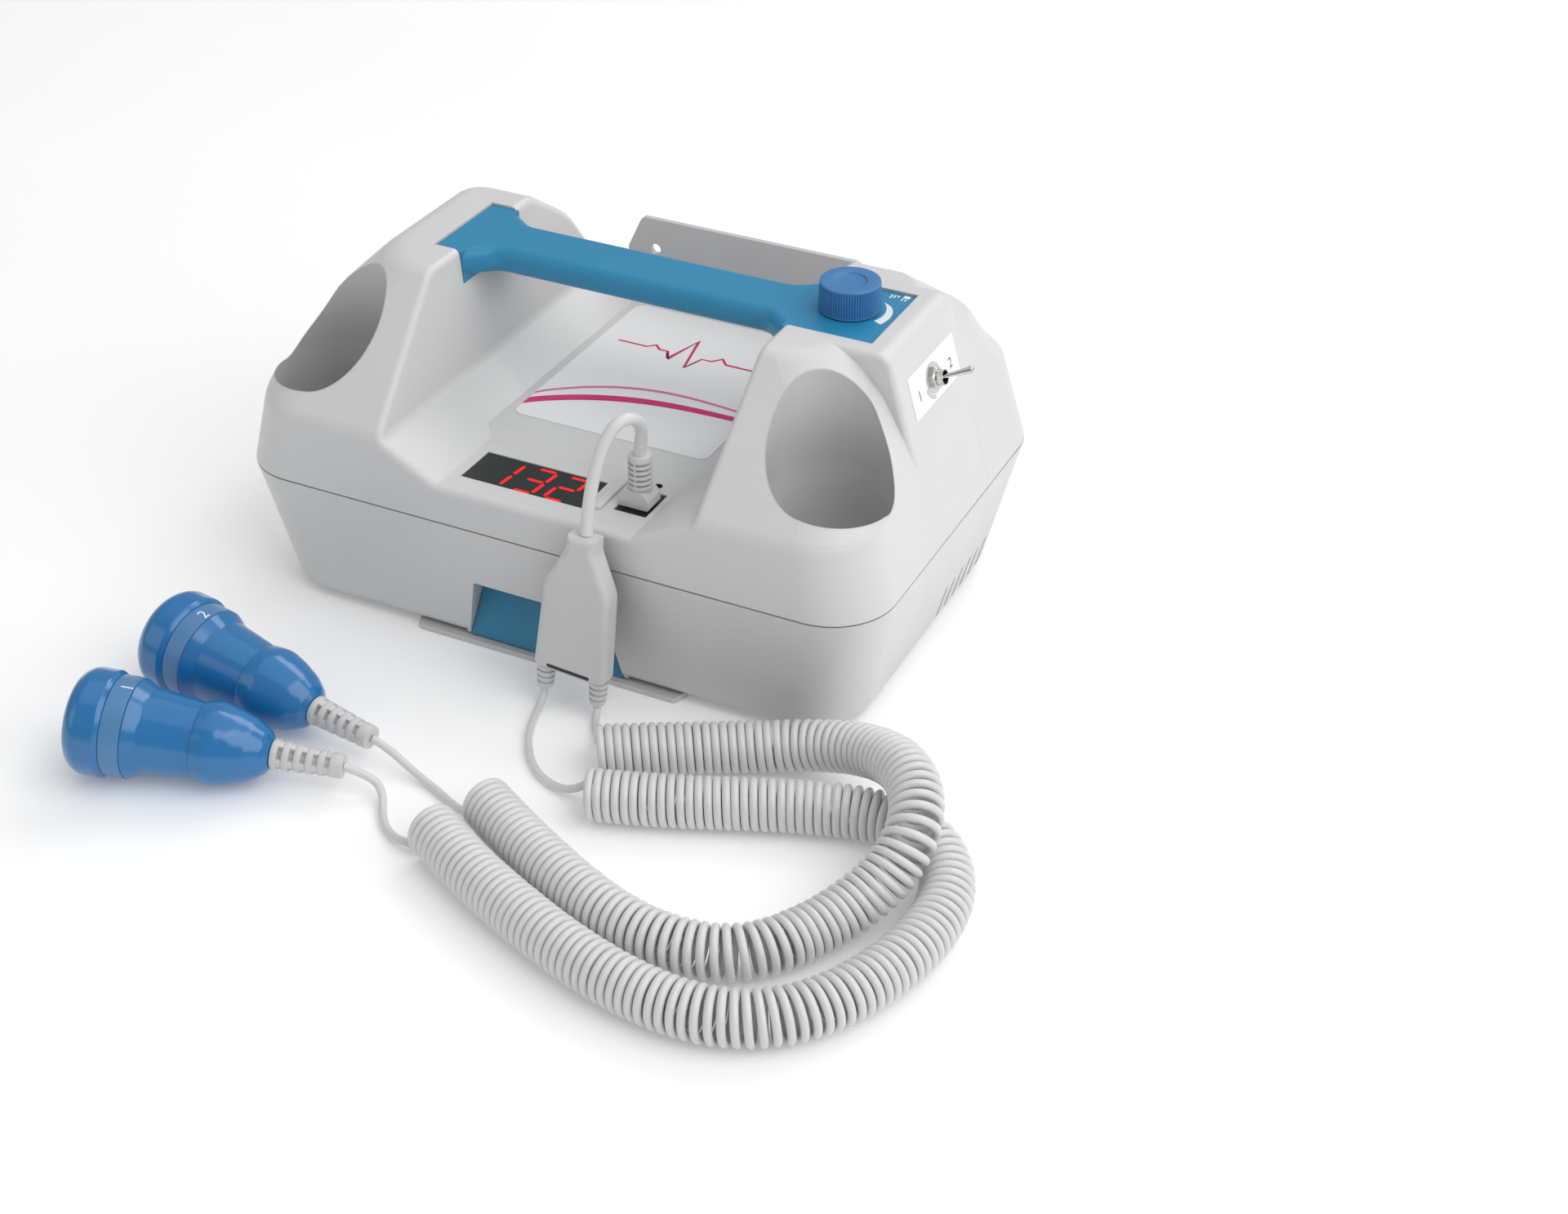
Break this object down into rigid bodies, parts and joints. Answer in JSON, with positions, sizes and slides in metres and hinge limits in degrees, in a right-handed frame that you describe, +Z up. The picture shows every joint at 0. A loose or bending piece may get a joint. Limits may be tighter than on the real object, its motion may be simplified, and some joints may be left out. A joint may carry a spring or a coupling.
{
  "type": "fetal doppler monitor",
  "caption": "Tabletop fetal doppler monitor with carry handle, probe holders, digit display, wall bracket and ultrasound probes on coiled leads.",
  "frame": {"origin": "underside of the wall bracket's bottom plate, which is the plane the monitor stands on, below the middle of the carrying handle", "axes": "+Z up, +X to the monitor's right, +Y to the back, so the display faces -Y"},
  "size_m": [0.3571, 0.3578, 0.1496],
  "materials": {
    "housing": "fine grained warm white ABS",
    "bracket": "light grey powder coat",
    "handle_blue": "teal blue, satin",
    "knob_blue": "blue, fine knurl",
    "latch_blue": "teal blue, satin",
    "probe_blue": "glossy blue",
    "probe_band": "paler matt blue ring",
    "cable_grey": "light grey PVC",
    "plug_grey": "light grey moulded PVC",
    "black": "black moulding",
    "lens": "smoked display window",
    "label": "printed film label",
    "nickel": "nickel plated",
    "steel": "zinc plated steel",
    "foot_rubber": "black rubber",
    "circuit": "green laminate with parts",
    "battery": "wrapped cell block"
  },
  "bodies": {
    "monitor": {"upper_shell": "housing", "lower_shell": "housing", "foot_fl": "foot_rubber", "foot_fr": "foot_rubber", "foot_rl": "foot_rubber", "foot_rr": "foot_rubber", "screw_fl": "steel", "screw_fr": "steel", "screw_rl": "steel", "screw_rr": "steel", "battery_cover": "housing", "handle": "handle_blue", "potentiometer": "steel", "toggle_switch": "nickel", "toggle_washer": "nickel", "toggle_nut": "nickel", "switch_label": "label", "front_label": "label", "display_window": "lens", "display_module": "black", "probe_socket": "black", "earphone_jack": "black", "charge_inlet": "black", "main_board": "circuit", "battery_pack": "battery", "speaker": "black", "plug_body": "plug_grey", "plug_relief": "plug_grey", "trunk_cord": "cable_grey", "splitter_case": "plug_grey", "splitter_inlay": "black", "splitter_relief_a": "plug_grey", "splitter_relief_b": "plug_grey", "lead_a": "cable_grey", "lead_b": "cable_grey", "coil_a": "cable_grey", "coil_b": "cable_grey", "tail_a": "cable_grey", "tail_b": "cable_grey", "probe_a_cap": "probe_blue", "probe_a_band": "probe_band", "probe_a_body": "probe_blue", "probe_a_relief": "plug_grey", "probe_b_cap": "probe_blue", "probe_b_band": "probe_band", "probe_b_body": "probe_blue", "probe_b_relief": "plug_grey"},
    "volume_knob": {"volume_knob": "knob_blue"},
    "toggle_lever": {"toggle_lever": "nickel"},
    "latch": {"latch": "latch_blue"},
    "wall_bracket": {"wall_bracket": "bracket"}
  },
  "joints": [
    {"name": "volume_turn", "type": "hinge", "parent": "monitor", "child": "volume_knob", "pos_m": [0.0892, 0.0021, 0.143], "axis": [0, 0, 1], "range_deg": [-140, 140]},
    {"name": "toggle_flip", "type": "hinge", "parent": "monitor", "child": "toggle_lever", "pos_m": [0.12859, -0.0002, 0.11763], "axis": [-0.2759, 0, 0.9612], "range_deg": [-56, 0]},
    {"name": "latch_press", "type": "hinge", "parent": "monitor", "child": "latch", "pos_m": [0, -0.0866, 0.0072], "axis": [1, 0, 0], "range_deg": [-8, 0], "stiffness_Nm_per_rad": 0.6, "springref_deg": 2.86},
    {"name": "bracket_slide", "type": "slide", "parent": "monitor", "child": "wall_bracket", "axis": [0, 1, 0], "range_m": [0, 0.19]}
  ]
}
